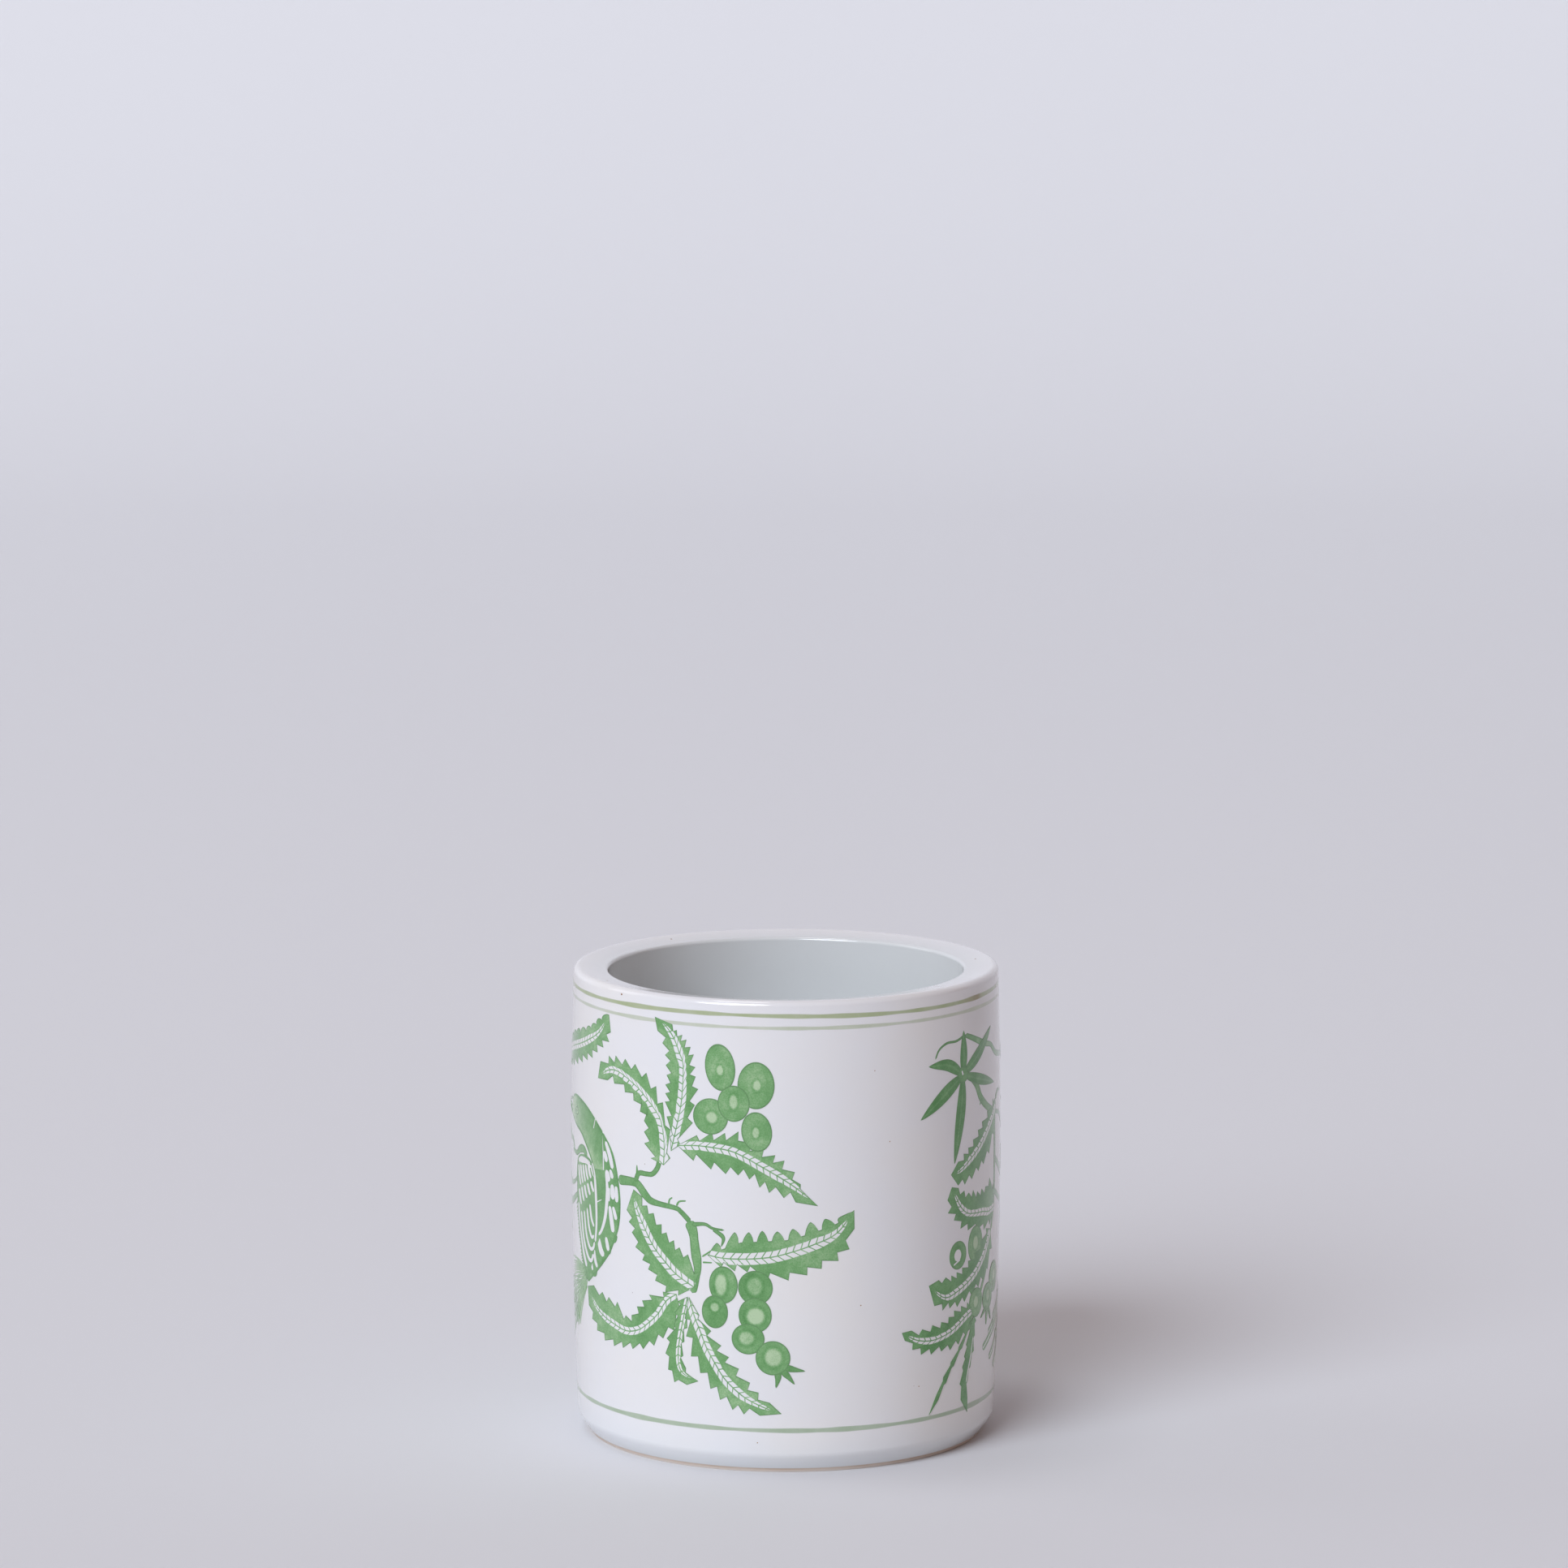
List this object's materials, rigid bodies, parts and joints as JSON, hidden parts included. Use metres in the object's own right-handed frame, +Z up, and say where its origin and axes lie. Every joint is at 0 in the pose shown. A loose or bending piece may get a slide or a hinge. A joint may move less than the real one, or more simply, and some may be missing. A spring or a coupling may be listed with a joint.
{
  "type": "brush holder pot",
  "caption": "Thick-walled round porcelain pot that holds writing brushes upright, glazed inside and out, with banded lines and a green bird-and-fruit print laid twice around the wall.",
  "frame": {"origin": "centre of the foot ring's rest plane", "axes": "+Z up along the pot's axis, -Y towards the front, +X to the right"},
  "size_m": [0.12, 0.1202, 0.132],
  "materials": {
    "porcelain": "bare fired clay, matt",
    "glaze": "clear glaze over white porcelain, glossy",
    "olive_line": "brushed colour under a gloss",
    "pale_line": "brushed colour under a gloss",
    "grey_green_line": "brushed colour under a gloss",
    "green_print": "printed colour under a gloss"
  },
  "bodies": {
    "root": {"porcelain_body": "porcelain", "outer_glaze": "glaze", "inner_glaze": "glaze", "base_glaze": "glaze", "rim_line_upper": "olive_line", "rim_line_lower": "pale_line", "foot_line": "grey_green_line", "bird_a": "green_print", "upper_spray_a": "green_print", "lower_spray_a": "green_print", "bamboo_a": "green_print", "hanging_spray_a": "green_print", "bird_b": "green_print", "upper_spray_b": "green_print", "lower_spray_b": "green_print", "bamboo_b": "green_print", "hanging_spray_b": "green_print"}
  },
  "joints": []
}
